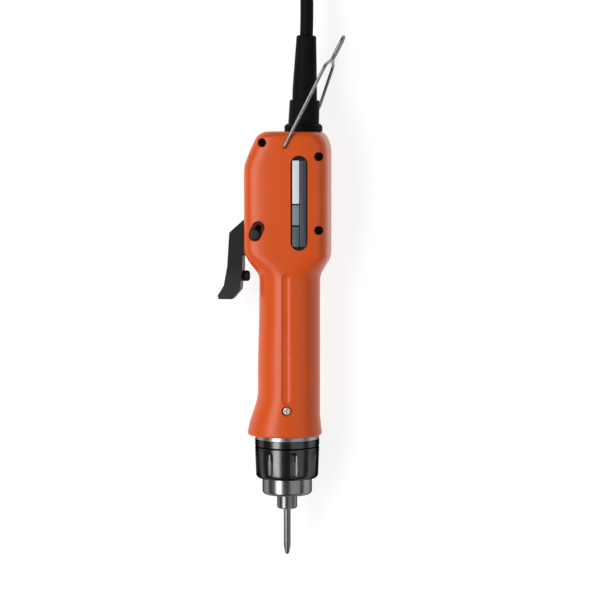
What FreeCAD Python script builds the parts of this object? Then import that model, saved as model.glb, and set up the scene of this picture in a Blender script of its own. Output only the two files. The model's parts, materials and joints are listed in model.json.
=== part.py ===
"""Electric torque screwdriver, lying on a table with its lever to the left.

Tool frame, in millimetres: the tool's axis is the Y axis, y = 0 is the front end of the
orange housing, +Y runs to the cord, -X to the start lever and +Z up from the parting
plane of the two shells. At the end every piece is moved so that the tool stands on z = 0.
"""
import FreeCAD, Part
import math
import os
from FreeCAD import Vector

# Tube of the gear case, which the rings turn on and the grip is built round
case_tube_radius = 13.0
case_radius = case_tube_radius + 0.2
case_tube_bore = case_tube_radius - 2.6
ring_radius = case_tube_radius + 5.1

# Housing
wall = 2.2
housing_length = 170.0
head_length = 65.0
neck_length = 17.5
chamfer_length = 19.0
handle_front = case_tube_radius + 2.5
handle_back = handle_front + 3.0
handle_half_depth = handle_front + 2.0
handle_taper = 0.9
flare_front = 5.8
flare_side = 1.0
flare_length = 25.0
head_front = 24.1
head_back = 24.1
head_half_depth = handle_half_depth + 2.0
head_squareness = 4.6
handle_squareness = 2.1
neck_end = housing_length - head_length
neck_start = neck_end - neck_length
chamfer_start = housing_length - chamfer_length
chamfer_slope = 0.5
back_round = 13.0
back_round_width = 6.7
top_round = 4.0
rim_round = 0.8
rib_thickness = 1.6

# Flute and handle screw
flute_x = 1.9
flute_start = 19.5
flute_end = neck_start + 3.0
flute_radius = 4.6
flute_depth = 1.3
handle_screw_y = 15.2
handle_screw_head = 2.1
handle_screw_shank = 1.25
handle_screw_recess = 2.95

# Name plate
plate_x = 9.0
plate_start = neck_end - 0.4
plate_end = housing_length - 13.0
plate_width = 9.4
plate_recess = 1.5
plate_thickness = 0.6

# Head screws
head_screw_side = head_back - 4.5
head_screw_places = (
    (-11.7, housing_length - 6.0), (head_screw_side, housing_length - 13.6), (head_screw_side, neck_end + 10.8)
)
head_screw_head = 2.3
head_screw_shank = 1.4
head_screw_recess = 2.5
head_screw_seat = 9.0
head_screw_head_height = 2.2
head_screw_reach = 10.0
boss_wall = 1.2

# Start lever, its outline given from the pivot
lever_pivot_x = -head_front + 6.1
lever_pivot_y = neck_end + 20.8
lever_outline = (
    (-6.9, -5.9), (-13.8, -12.0), (-14.5, -22.8), (-15.0, -30.8), (-17.0, -41.8), (-20.5, -47.5),
    (-19.9, -49.4), (-12.2, -49.4), (-7.9, -44.3), (-7.5, -39.8), (-6.5, -32.3), (-6.5, -25.0),
)
lever_rib_x = lever_pivot_x - 0.2
striker_x = lever_pivot_x + 1.6
lever_pin_radius = 1.5
lever_hub_radius = 3.2
lever_width = 12.0
lever_slot_start = neck_end - 8.1
lever_slot_end = lever_pivot_y - 2.2
bumper_y = lever_pivot_y - 36.5
bumper_radius = 3.0
bumper_stand = 3.9
bumper_stem_radius = 1.2
striker_y = lever_pivot_y - 18.8

# Start switch and board
switch_length = 10.0
switch_width = 11.5
switch_top = 4.0
switch_x = striker_x + 2.8
switch_y = striker_y - 5.5
plunger_size = 3.0
plunger_reach = 2.5
plunger_stroke = 2.3
board_z = -8.0
board_thickness = 1.2
board_start = switch_y - 1.0
board_end = housing_length - 20.0
board_left = switch_x + 0.6
board_right = head_back - 8.9

# Selector
selector_x = -14.7
selector_y = lever_pivot_y - 10.6
selector_slant = 65.0
selector_length = 11.9
selector_width = 7.3
selector_depth = 2.2
selector_travel = 4.0
selector_knob_radius = 2.85
selector_stem_radius = 1.3
selector_rest = -2.0
selector_switch_inset = 0.8

# Bail
bail_x = 0.8
bail_y = housing_length - 8.4
bail_lean = 24.6
bail_wire = 1.8
bail_shoulder = 52.5
bail_neck = 56.6
bail_eye_start = 60.6
bail_eye_end = 67.4
bail_eye_half_width = 3.6
bail_neck_half_width = 1.15
bail_hook = 3.9
bail_bow = 3.6

# Cord guard and cord
guard_x = 9.2
guard_lean = 1.8
guard_flange_radius = 10.6
guard_flange_height = 4.3
guard_flange_chamfer = 1.3
guard_base_radius = 8.4
guard_base_height = 17.4
guard_taper_start = 6.9
guard_taper_end = 5.5
guard_height = 53.2
guard_neck_radius = 6.0
guard_lip_radius = 8.0
cord_diameter = 7.3

# Gear case, rings and nose
case_flange_thickness = 2.0
case_flange_radius = ring_radius - 0.2
scale_ring_width = 4.2
ring_gap = 0.2
collar_length = 17.6
collar_end_radius = ring_radius - 0.6
collar_flutes = 8
collar_flute_turn = 19.0
collar_flute_radius = 3.2
collar_flute_depth = 1.3
collar_flute_length = 12.0
nose_radius = case_tube_radius + 1.0
nose_length = 9.4
nose_edge = 2.0
nose_spigot = 5.7

# Motor and gears
gear_module = 0.5
sun_teeth = 12
planet_teeth = 15
planet_count = 3
face_width = 5.0
pressure_angle = 20.0
gear_backlash = 0.12
train_front = 12.5
carrier_radius = 9.6
second_carrier_thickness = 3.0
first_carrier_thickness = 2.2
train_gap = 0.4
planet_pin_radius = 1.0
ring_gear_radius = case_radius - 0.8
motor_radius = case_radius - 0.6
motor_length = 46.0
motor_wall = 1.0
motor_shaft_radius = 1.5
pinion_bore = 1.0
magnet_thickness = 1.8
air_gap = 0.4
end_cap_length = 8.0

# Clutch, spring and spindle
clutch_gap = 1.0
ball_radius = 1.5
ball_circle = 7.0
clutch_plate_thickness = 3.0
washer_thickness = 1.0
torque_spring_radius = case_tube_bore - 2.4
torque_spring_wire = 2.2
torque_spring_turns = 5
seat_thickness = 2.9
seat_travel = 3.0
seat_pin_radius = 1.2
spindle_radius = 4.0
spindle_mid_radius = 3.5
spindle_tail_radius = 2.5
spindle_shoulder_radius = 5.0
spindle_flats = 6.2
bearing_radius = 7.0
running_clearance = 0.05

# Bit and sleeve
sleeve_radius = 5.7
sleeve_visible = 8.2
sleeve_hidden = 5.4
sleeve_bore_clearance = 0.3
bit_radius = 2.0
bit_visible = 26.4
bit_depth = 19.9
bit_ball_radius = 1.2
bit_groove = 0.5
bit_tip_radius = 0.9

# Clearance between pieces that do not run in each other
fit_gap = 0.2

# Lead, coil and plug. Each run has its length, its heading to the left of +Y and its share of the way down
lead_runs = (
    (22.0, -guard_lean, 0.0), (24.0, 8.0, 0.45), (27.0, 31.0, 0.9), (27.0, 56.0, 1.0), (24.0, 28.0, 1.0),
)
lead_inside_coil = 10.0
coil_mid_radius = 39.0
coil_columns = 3
coil_rows = 3
coil_lift = 1.0
tie_width = 14.0
tie_thickness = 0.7
tie_place = 135.0
plug_tail = 6.2
plug_tail_radius = 4.6
plug_radius = 8.0
plug_ring_radius = 8.8
plug_core_radius = 6.6
plug_length = 37.0
plug_ring_length = 12.0
plug_nose_length = 8.0
plug_pin_radius = 0.6
plug_pin_length = 6.0
plug_pin_count = 5

# Stations along the axis, worked out from the lengths
case_front = -case_flange_thickness
scale_front = case_front - scale_ring_width
collar_back = scale_front - ring_gap
collar_front = collar_back - collar_length
nose_back = collar_front - ring_gap
nose_front = nose_back - nose_length
sleeve_front = nose_front - sleeve_visible
bit_tip = sleeve_front - bit_visible
second_planet_y = train_front + second_carrier_thickness + train_gap
first_carrier_y = second_planet_y + face_width + train_gap
first_planet_y = first_carrier_y + first_carrier_thickness + train_gap
motor_y = first_planet_y + face_width + 2 * train_gap
motor_end = motor_y + motor_length
clutch_plate_y = train_front - clutch_gap - clutch_plate_thickness
washer_y = clutch_plate_y - fit_gap - washer_thickness
spigot_back = nose_back + nose_spigot
seat_y = spigot_back + 2.2
bearing_y = nose_back - fit_gap
bearing_length = nose_spigot
rest_height = head_half_depth + fit_gap + bail_wire
bail_side = head_half_depth + fit_gap + bail_wire / 2

nodes = {}


def blend(value, start, end):
    """Smooth step from 0 at start to 1 at end."""
    t = min(max((value - start) / (end - start), 0.0), 1.0)
    return t * t * (3 - 2 * t)


def quarter_round(distance, length):
    """How far a quarter of an ellipse has come in, from 0 to 1, over its length."""
    t = min(max(distance / length, 0.0), 1.0)
    return 1 - math.sqrt(1 - t * t)


def soft_ramp(distance, softness):
    """Zero before, a straight line after, with a smooth bend between."""
    if distance <= -softness:
        return 0.0
    if distance >= softness:
        return distance
    return (distance + softness) ** 2 / (4 * softness)


# Housing outline

def front_edge(y, flared=True):
    """Distance of the lever side from the axis at station y."""
    neck = blend(y, neck_start, neck_end)
    edge = handle_front + (head_front - handle_front) * neck
    edge += handle_taper * (1 - blend(y, flare_length, neck_start))
    if flared:
        edge += flare_front * (1 - blend(y, 0, flare_length))
    edge -= chamfer_slope * soft_ramp(y - chamfer_start, 3.0)
    edge -= top_round * quarter_round(y - housing_length + top_round, top_round)
    return edge


def back_edge(y, flared=True):
    """Distance of the far side from the axis at station y."""
    neck = blend(y, neck_start, neck_end - 3)
    edge = handle_back + (head_back - handle_back) * neck
    if flared:
        edge += flare_side * (1 - blend(y, 0, flare_length / 2))
    edge -= back_round_width * quarter_round(y - housing_length + back_round, back_round)
    return edge


def depth_edge(y, flared=True):
    """Half the housing's depth at station y."""
    edge = handle_half_depth + (head_half_depth - handle_half_depth) * blend(y, neck_start, neck_end)
    if flared:
        edge += flare_side * (1 - blend(y, 0, flare_length / 2))
    edge -= top_round * quarter_round(y - housing_length + top_round, top_round)
    return edge


def section(y, inset, flared=True):
    """Closed curve of the housing at station y: an ellipse that squares up towards the head."""
    front = front_edge(y, flared) - inset
    back = back_edge(y, flared) - inset
    depth = depth_edge(y, flared) - inset
    if flared and inset == 0 and y < rim_round:
        rim = rim_round * quarter_round(rim_round - y, rim_round)
        front, back, depth = front - rim, back - rim, depth - rim
    power = handle_squareness + (head_squareness - handle_squareness) * blend(y, neck_start, neck_end)
    centre = (back - front) / 2
    half_width = (back + front) / 2
    count = 40
    points = []
    for i in range(count):
        angle = 2 * math.pi * i / count
        across = abs(math.cos(angle) / half_width) ** power
        up = abs(math.sin(angle) / depth) ** power
        reach = (across + up) ** (-1 / power)
        points.append(Vector(centre + reach * math.cos(angle), y, reach * math.sin(angle)))
    curve = Part.BSplineCurve()
    curve.interpolate(Points=points, Parameters=[i / count for i in range(count + 1)], PeriodicFlag=True)
    return Part.Wire([curve.toShape()])


def housing_form(inset, start, end, flared=True):
    """Solid loft of the housing, inset from the outside, between two stations."""
    stations = [start, end]
    stations += [rim_round, 3, 7, 11, 15, 19, flare_length, flare_length + 6]
    stations += [neck_start - 30, neck_start - 8, neck_start - 3]
    steps = 7
    stations += [neck_start + (neck_end - neck_start) * i / steps for i in range(steps + 1)]
    stations += [neck_end + 5, neck_end + 20, chamfer_start - 12, chamfer_start - 4]
    stations += [chamfer_start + 3 * i for i in range(5)]
    stations += [housing_length - top_round * (1 - math.sin(math.radians(a))) for a in (0, 25, 45, 62, 77)]
    inside = sorted({y for y in stations if start < y < end})
    kept = [start]
    for y in inside:
        if y - kept[-1] > 0.25 and end - y > 0.15:
            kept.append(y)
    kept.append(end)
    return Part.makeLoft([section(y, inset, flared) for y in kept], True, False)


# Simple solids

def turned(profile, x=0.0, z=0.0):
    """Solid turned about the line through x and z along Y, from (y, radius) corners."""
    points = [Vector(x + radius, y, z) for y, radius in profile]
    points.append(points[0])
    face = Part.Face(Part.makePolygon(points))
    return face.revolve(Vector(x, 0, z), Vector(0, 1, 0), 360)


def rod(y_start, y_end, radius, bore=0.0, x=0.0, z=0.0):
    """Rod or tube along Y."""
    solid = Part.makeCylinder(radius, y_end - y_start, Vector(x, y_start, z), Vector(0, 1, 0))
    if bore:
        hole = Part.makeCylinder(bore, y_end - y_start + 2, Vector(x, y_start - 1, z), Vector(0, 1, 0))
        solid = solid.cut(hole)
    return solid


def post(x, y, z_start, z_end, radius):
    """Round post along Z."""
    low, high = sorted((z_start, z_end))
    return Part.makeCylinder(radius, high - low, Vector(x, y, low))


def box(x_start, x_end, y_start, y_end, z_start, z_end):
    """Block between two corners."""
    size = (x_end - x_start, y_end - y_start, z_end - z_start)
    return Part.makeBox(*size, Vector(x_start, y_start, z_start))


def stadium(x, y, z_start, z_end, length, width, angle=90.0):
    """Slot-shaped prism along Z, with its long side at angle to +X."""
    radius = width / 2
    half = length / 2 - radius
    left = Part.Arc(Vector(-half, radius, 0), Vector(-half - radius, 0, 0), Vector(-half, -radius, 0))
    right = Part.Arc(Vector(half, -radius, 0), Vector(half + radius, 0, 0), Vector(half, radius, 0))
    bottom = Part.LineSegment(Vector(-half, -radius, 0), Vector(half, -radius, 0))
    top = Part.LineSegment(Vector(half, radius, 0), Vector(-half, radius, 0))
    wire = Part.Wire([left.toShape(), bottom.toShape(), right.toShape(), top.toShape()])
    solid = Part.Face(wire).extrude(Vector(0, 0, z_end - z_start))
    solid.rotate(Vector(0, 0, 0), Vector(0, 0, 1), angle)
    solid.translate(Vector(x, y, z_start))
    return solid


def about_axis(solid, degrees):
    """Copy of a solid turned about the tool's axis."""
    copy = solid.copy()
    copy.rotate(Vector(0, 0, 0), Vector(0, 1, 0), degrees)
    return copy


def coil_spring(y_start, y_end, radius, wire, turns):
    """Compression spring along Y, its wire's outside between the two stations."""
    corners = 8
    steps = round(corners * turns)
    rise = y_end - y_start - wire
    reach = radius * 2 / (1 + math.cos(math.pi / corners))
    points = []
    for i in range(steps + 1):
        angle = 2 * math.pi * i / corners
        y = y_start + wire / 2 + rise * i / steps
        points.append(Vector(reach * math.cos(angle), y, reach * math.sin(angle)))
    solid, _, _ = swept_round(points, wire, even_bend)
    return solid


def even_bend(index, shorter, turn):
    """Radius of an arc that leaves a tenth of each run straight."""
    return 0.45 * shorter / math.tan(turn / 2)


def rounded_path(points, radius_of):
    """Straight runs joined by tangent arcs. Returns the wire, its length and the radii."""
    edges = []
    radii = []
    last = points[0]
    for i in range(1, len(points) - 1):
        before = points[i - 1] - points[i]
        after = points[i + 1] - points[i]
        turn = math.pi - before.getAngle(after)
        before_room = before.Length * (2 if i == 1 else 1)
        after_room = after.Length * (2 if i == len(points) - 2 else 1)
        shorter = min(before_room, after_room)
        radius = radius_of(i, shorter, turn)
        radii.append(radius)
        back = radius * math.tan(turn / 2)
        begin = points[i] + before.normalize() * back
        finish = points[i] + after.normalize() * back
        middle_way = (before + after).normalize()
        middle = points[i] + middle_way * (radius / math.cos(turn / 2) - radius)
        if (begin - last).Length > 0.01:
            edges.append(Part.LineSegment(last, begin).toShape())
        edges.append(Part.Arc(begin, middle, finish).toShape())
        last = finish
    edges.append(Part.LineSegment(last, points[-1]).toShape())
    return Part.Wire(edges), radii


def swept_round(points, diameter, radius_of):
    """Round bar along a rounded path."""
    path, radii = rounded_path(points, radius_of)
    start = points[0]
    way = points[1] - points[0]
    circle = Part.Wire([Part.makeCircle(diameter / 2, start, way)])
    solid = path.makePipeShell([circle], True, False)
    return solid, path.Length, radii


# Gears

def involute(angle):
    """Involute function of a pressure angle."""
    return math.tan(angle) - angle


def gear_face(teeth, tip, root, backlash, turn):
    """Flat outline of a gear in the XZ plane, tooth 0 at the angle turn from +X towards -Z."""
    pitch = gear_module * teeth / 2
    alpha = math.radians(pressure_angle)
    base = pitch * math.cos(alpha)
    half_at_pitch = (math.pi * gear_module / 2 - backlash) / 2 / pitch

    def half_angle(radius):
        if radius <= base:
            return half_at_pitch + involute(alpha)
        return half_at_pitch + involute(alpha) - involute(math.acos(base / radius))

    radii = (root, max(base, root + 0.1), pitch, tip)
    points = []
    for tooth in range(teeth):
        centre = turn + 2 * math.pi * tooth / teeth
        for radius in radii:
            points.append((radius, centre - half_angle(radius)))
        for radius in reversed(radii):
            points.append((radius, centre + half_angle(radius)))
    corners = [Vector(r * math.cos(a), 0, -r * math.sin(a)) for r, a in points]
    corners.append(corners[0])
    return Part.Face(Part.makePolygon(corners))


def gear(teeth, y_start, width, turn, bore=0.0, x=0.0, z=0.0):
    """External spur gear along Y."""
    pitch = gear_module * teeth / 2
    face = gear_face(teeth, pitch + 0.9 * gear_module, pitch - 1.15 * gear_module, gear_backlash, turn)
    solid = face.extrude(Vector(0, width, 0))
    if bore:
        solid = solid.cut(rod(-1, width + 1, bore))
    solid.translate(Vector(x, y_start, z))
    return solid


ring_teeth = sun_teeth + 2 * planet_teeth
centre_distance = gear_module * (sun_teeth + planet_teeth) / 2


def planet_angle(index):
    """Place of a planet round the axis, from +X towards -Z."""
    return 2 * math.pi * index / planet_count


def planet_turn(index):
    """Turn of a planet that sets its gap over the sun's tooth."""
    place = planet_angle(index)
    sun_share = place * sun_teeth / (2 * math.pi)
    return place + math.pi - (0.5 - sun_share) * 2 * math.pi / planet_teeth


def ring_turn():
    """Turn of the ring gear that sets a gap over the planet's tooth."""
    share = (planet_angle(0) - planet_turn(0)) * planet_teeth / (2 * math.pi)
    return planet_angle(0) - share * 2 * math.pi / ring_teeth


# Housing shells

def screw_bosses(upper):
    """Bosses of the head screws, from the parting plane to the wall."""
    side = 1 if upper else -1
    bosses = []
    for x, y in head_screw_places:
        bosses.append(post(x, y, 0, side * head_half_depth, head_screw_recess + boss_wall))
    return bosses


def cradle_ribs():
    """Half-round ribs that hold the gear case and the motor."""
    ribs = []
    for y in (6.0, 24.0):
        ribs.append((y, case_radius + fit_gap))
    for y in (motor_y + 8.0, motor_end - 12.0):
        ribs.append((y, motor_radius + fit_gap))
    solids = []
    for y, bore in ribs:
        slab = box(-head_front, head_back, y, y + rib_thickness, -head_half_depth, head_half_depth)
        solids.append(slab.cut(rod(y - 1, y + rib_thickness + 1, bore)))
    return solids


def inner_parts(upper):
    """Everything that a shell carries inside, before it is trimmed to the shell."""
    side = 1 if upper else -1
    reach = side * head_half_depth
    parts = screw_bosses(upper) + cradle_ribs()
    pin_boss = lever_pin_radius + 2.0
    lever_clear = lever_width / 2 + fit_gap
    parts.append(post(lever_pivot_x, lever_pivot_y, side * lever_clear, reach, pin_boss))
    parts.append(post(bail_x, bail_y, side * (head_half_depth - bail_hook - 1.5), reach, bail_wire + 1.0))
    if upper:
        pad_length = selector_length + 2 * wall
        pad_width = selector_width + 2 * wall
        floor = head_half_depth - selector_depth - wall
        parts.append(stadium(selector_x, selector_y, floor, reach, pad_length, pad_width, selector_slant))
        floor = head_half_depth - plate_recess - wall
        length = plate_end - plate_start + 2 * wall
        centre = (plate_start + plate_end) / 2
        parts.append(stadium(plate_x, centre, floor, reach, length, plate_width + 2 * wall))
    else:
        far = board_end - 4
        for x, y in ((board_left + 3, far), (board_right - 3, far), (board_right - 3, board_start + 4)):
            parts.append(post(x, y, board_z, reach, 2.2))
    pad = box(flute_x - 4, flute_x + 4, handle_screw_y - 4, handle_screw_y + 4, 0, reach) if upper else None
    if pad:
        parts.append(pad.cut(rod(handle_screw_y - 5, handle_screw_y + 5, case_radius + fit_gap / 2)))
    return parts


def flute_tool(side):
    """Rounded groove along the grip, with ball ends."""
    height = handle_half_depth + flute_radius - flute_depth
    start = flute_start + flute_radius / 2
    end = flute_end - flute_radius / 2
    tool = rod(start, end, flute_radius, 0, flute_x, side * height)
    for y in (start, end):
        tool = tool.fuse(Part.makeSphere(flute_radius, Vector(flute_x, y, side * height)))
    return tool


def shell_cuts(upper):
    """Holes, slots and recesses of a shell."""
    side = 1 if upper else -1
    reach = side * (head_half_depth + 2)
    hole = guard_neck_radius + 0.3
    cuts = [flute_tool(side)]
    cuts.append(rod(housing_length - 8, housing_length + 1, hole, 0, guard_x, 0))
    lip = guard_lip_radius + fit_gap
    cuts.append(rod(housing_length - 8, housing_length - wall, lip, 0, guard_x, 0))
    clear = lever_width / 2 + 0.4
    cuts.append(box(-head_front - 2, -head_front + 6, lever_slot_start, lever_slot_end, -clear, clear))
    pin_end = lever_width / 2 + 5.0
    cuts.append(post(lever_pivot_x, lever_pivot_y, 0, side * pin_end, lever_pin_radius + 0.02))
    bail_end = head_half_depth - bail_hook
    cuts.append(post(bail_x, bail_y, side * bail_end, reach, bail_wire / 2 + running_clearance))
    for x, y in head_screw_places:
        if upper:
            cuts.append(post(x, y, head_screw_seat, reach, head_screw_recess))
            cuts.append(post(x, y, -1, head_screw_seat + 1, head_screw_shank + 0.1))
        else:
            cuts.append(post(x, y, 1, -head_screw_reach - 1, head_screw_shank + 0.02))
    if upper:
        centre = (plate_start + plate_end) / 2
        floor = head_half_depth - plate_recess
        cuts.append(stadium(plate_x, centre, floor, reach, plate_end - plate_start, plate_width))
        floor = head_half_depth - selector_depth
        cuts.append(stadium(selector_x, selector_y, floor, reach, selector_length, selector_width, selector_slant))
        slot_width = 2 * selector_stem_radius + 0.6
        slot_length = slot_width + selector_travel + 0.4
        cuts.append(stadium(selector_x, selector_y, 0, reach, slot_length, slot_width, selector_slant))
        cuts.append(post(flute_x, handle_screw_y, 0, reach, handle_screw_shank + 0.05))
        seat = handle_half_depth - 1.6
        cuts.append(post(flute_x, handle_screw_y, seat, reach, handle_screw_recess))
    return cuts


def make_shells():
    """Upper and lower shell of the housing."""
    outer = housing_form(0.0, 0.0, housing_length)
    cavity = housing_form(wall, -1.0, housing_length - wall, flared=False)
    middle = housing_form(wall / 2, 0.0, housing_length - wall / 2, flared=False)
    skin = outer.cut(cavity)
    wide = 2 * head_front
    for upper in (True, False):
        low, high = (0, wide) if upper else (-wide, 0)
        half = box(-wide, wide, -1, housing_length + 1, low, high)
        inside = Part.makeCompound(inner_parts(upper))
        room = middle.common(half)
        fitted = [part.common(room) for part in inside.Solids]
        shell = skin.common(half).fuse(fitted)
        shell = shell.cut(shell_cuts(upper))
        nodes["upper_shell" if upper else "lower_shell"] = shell.removeSplitter()


def make_screws():
    """Head screws and the short handle screw, each with a cross in its head."""
    screws = []
    head_top = head_screw_seat + head_screw_head_height
    for x, y in head_screw_places:
        head = post(x, y, head_screw_seat, head_top, head_screw_head)
        shank = post(x, y, -head_screw_reach, head_screw_seat, head_screw_shank)
        screws.append(cross_cut(head.fuse(shank).removeSplitter(), x, y, head_top, head_screw_head))
    nodes["head_screws"] = Part.makeCompound(screws)
    seat = handle_half_depth - 1.6
    top = seat + 1.3
    tip = math.sqrt((ring_gear_radius + 0.15) ** 2 - (flute_x - handle_screw_shank) ** 2) + 0.15
    head = post(flute_x, handle_screw_y, seat, top, handle_screw_head)
    head = head.makeFillet(0.5, [max(head.Edges, key=lambda edge: edge.CenterOfMass.z)])
    screw = head.fuse(post(flute_x, handle_screw_y, tip, seat, handle_screw_shank)).removeSplitter()
    nodes["handle_screw"] = cross_cut(screw, flute_x, handle_screw_y, top, handle_screw_head)


def cross_cut(screw, x, y, top, radius):
    """Screw with a cross recess."""
    arm = radius * 0.62
    slot = radius * 0.16
    depth = radius * 0.4
    tool = box(x - arm, x + arm, y - slot, y + slot, top - depth, top + 1)
    other = box(x - slot, x + slot, y - arm, y + arm, top - depth, top + 1)
    return screw.cut(tool.fuse(other))


def make_name_plate():
    """Two-level plate in the long recess."""
    floor = head_half_depth - plate_recess
    centre = (plate_start + plate_end) / 2
    length = plate_end - plate_start - 2 * fit_gap
    width = plate_width - 2 * fit_gap
    nodes["name_plate"] = stadium(plate_x, centre, floor, floor + plate_thickness, length, width)


# Start lever

def make_lever():
    """Lever with its hub, pin, rubber stop and return spring."""
    half = lever_width / 2
    corners = [(lever_pivot_x + x, lever_pivot_y + y) for x, y in lever_outline]
    corners += [
        (lever_rib_x, striker_y - 5.0), (lever_rib_x, striker_y - 1.8),
        (striker_x, striker_y - 1.2), (striker_x, striker_y + 2.5),
        (lever_pivot_x + lever_hub_radius - 0.3, lever_pivot_y - 1.0),
        (lever_pivot_x - lever_hub_radius + 0.5, lever_pivot_y - 2.0),
    ]
    points = [Vector(x, y, -half) for x, y in corners]
    points.append(points[0])
    blade = Part.Face(Part.makePolygon(points)).extrude(Vector(0, 0, lever_width))
    rounded = []
    for edge in blade.Edges:
        start, end = edge.Vertexes[0].Point, edge.Vertexes[-1].Point
        upright = abs(start.x - end.x) < 1e-6 and abs(start.y - end.y) < 1e-6
        if upright and start.x < lever_pivot_x - 6.0 and start.y > striker_y - 8:
            rounded.append(edge)
    blade = blade.makeFillet(1.6, rounded)
    hub = post(lever_pivot_x, lever_pivot_y, -half, half, lever_hub_radius)
    lever = blade.fuse(hub).removeSplitter()
    lever = lever.cut(post(lever_pivot_x, lever_pivot_y, -half - 1, half + 1, lever_pin_radius + running_clearance))
    face = lever_pivot_x - 6.95
    stem = Part.makeCylinder(bumper_stem_radius, 3.0, Vector(face - 2.5, bumper_y, 0), Vector(1, 0, 0))
    lever = lever.cut(stem)
    nodes["lever"] = lever
    cap = Part.makeCylinder(bumper_radius, bumper_stand, Vector(face, bumper_y, 0), Vector(1, 0, 0))
    cap = cap.makeFillet(1.3, [max(cap.Edges, key=lambda edge: edge.CenterOfMass.x)])
    nodes["lever_bumper"] = cap.fuse(stem).removeSplitter().cut(lever)
    pin_end = half + 5.0 - fit_gap / 2
    nodes["lever_pin"] = post(lever_pivot_x, lever_pivot_y, -pin_end, pin_end, lever_pin_radius)
    spring = coil_spring(lever_rib_x + 0.1, switch_x - 0.1, 1.5, 0.4, 4)
    spring.rotate(Vector(0, 0, 0), Vector(0, 0, 1), -90)
    spring.translate(Vector(0, striker_y - 3.4, 0))
    nodes["lever_spring"] = spring


def make_switch():
    """Start switch on its board, with the plunger that the lever pushes."""
    bottom = board_z + board_thickness
    end = switch_x + switch_length
    body = box(switch_x, end, switch_y, switch_y + switch_width, bottom, switch_top)
    half = plunger_size / 2
    room = half + 0.15
    depth = plunger_stroke + 1.6
    pocket = box(switch_x - 1, switch_x + depth, striker_y - room, striker_y + room, -room, room)
    nodes["start_switch_body"] = body.cut(pocket)
    tip = switch_x - plunger_reach
    back = switch_x + depth - plunger_stroke - 0.3
    nodes["start_switch_plunger"] = box(tip, back, striker_y - half, striker_y + half, -half, half)
    board = box(board_left, board_right, board_start, board_end, board_z, bottom)
    nodes["circuit_board"] = board


def make_selector():
    """Forward and reverse slide with its switch under the recess floor."""
    angle = math.radians(selector_slant)
    x = selector_x + selector_rest * math.cos(angle)
    y = selector_y + selector_rest * math.sin(angle)
    floor = head_half_depth - selector_depth
    top = head_half_depth - 0.3
    base = floor + 0.1
    knob = post(x, y, base, top, selector_knob_radius)
    knob = knob.makeFillet(0.8, [max(knob.Edges, key=lambda edge: edge.CenterOfMass.z)])
    under = floor - wall
    stem = post(x, y, under - 3.0, base, selector_stem_radius)
    nodes["selector_knob"] = knob.fuse(stem).removeSplitter()
    switch_height = 5.0
    length = selector_length - 2 * selector_switch_inset
    width = selector_width - 2 * selector_switch_inset
    body = stadium(selector_x, selector_y, under - switch_height, under, length, width, selector_slant)
    slot_width = 2 * selector_stem_radius + 0.6
    slot_length = slot_width + selector_travel + 0.4
    room = stadium(selector_x, selector_y, under - 3.4, under + 1, slot_length, slot_width, selector_slant)
    nodes["selector_switch"] = body.cut(room)


# Bail and cord guard

def make_bail():
    """Wire bail: hooked ends, two side legs, a neck and a hanging eye."""
    lean = math.radians(bail_lean)

    def place(along, side, across=0.0):
        x = bail_x + along * math.sin(lean) + across * math.cos(lean)
        y = bail_y + along * math.cos(lean) - across * math.sin(lean)
        return Vector(x, y, side)

    hook = head_half_depth - bail_hook + 0.3
    points = [
        place(0, hook), place(0, bail_side), place(bail_shoulder, bail_side),
        place(bail_neck, bail_neck_half_width), place(bail_eye_start, bail_eye_half_width),
        place(bail_eye_end + bail_eye_half_width, bail_eye_half_width),
        place(bail_eye_end + bail_eye_half_width, -bail_eye_half_width),
        place(bail_eye_start, -bail_eye_half_width), place(bail_neck, -bail_neck_half_width),
        place(bail_shoulder, -bail_side), place(bail_shoulder * 0.5, -bail_side, bail_bow),
        place(0, -bail_side), place(0, -hook),
    ]

    def bend(index, shorter, turn):
        limits = {1: 1.3, 2: 3.5, 9: 3.5, 10: 30.0, 11: 1.3}
        largest = 0.48 * shorter / math.tan(turn / 2)
        return min(limits.get(index, 3.4), largest)

    nodes["suspension_bail"], _, _ = swept_round(points, bail_wire, bend)


def make_guard():
    """Cord guard: flange on the head, collar and a slender leaning sleeve."""
    top = housing_length
    chamfer = guard_flange_chamfer
    base = turned([
        (top, 0), (top, guard_flange_radius), (top + guard_flange_height - chamfer, guard_flange_radius),
        (top + guard_flange_height, guard_flange_radius - chamfer), (top + guard_flange_height, 0),
    ], guard_x)
    neck = rod(top - wall - 1, top + 1, guard_neck_radius, 0, guard_x, 0)
    lip_top = top - wall - fit_gap / 2
    lip = rod(lip_top - 2.0, lip_top, guard_lip_radius, 0, guard_x, 0)
    root = top + guard_flange_height - 2
    collar_end = top + guard_flange_height + guard_base_height
    tip = top + guard_height
    sleeve = turned([
        (root, 0), (root, guard_base_radius + 0.2), (collar_end - 0.6, guard_base_radius - 0.1),
        (collar_end, guard_base_radius - 0.7), (collar_end, guard_taper_start),
        (tip - 0.8, guard_taper_end), (tip, guard_taper_end - 0.8), (tip, 0),
    ], guard_x)
    sleeve.rotate(Vector(guard_x, top, 0), Vector(0, 0, 1), -guard_lean)
    nodes["cord_guard"] = base.fuse([neck, lip, sleeve]).removeSplitter()


# Gear case, rings and nose

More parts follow.
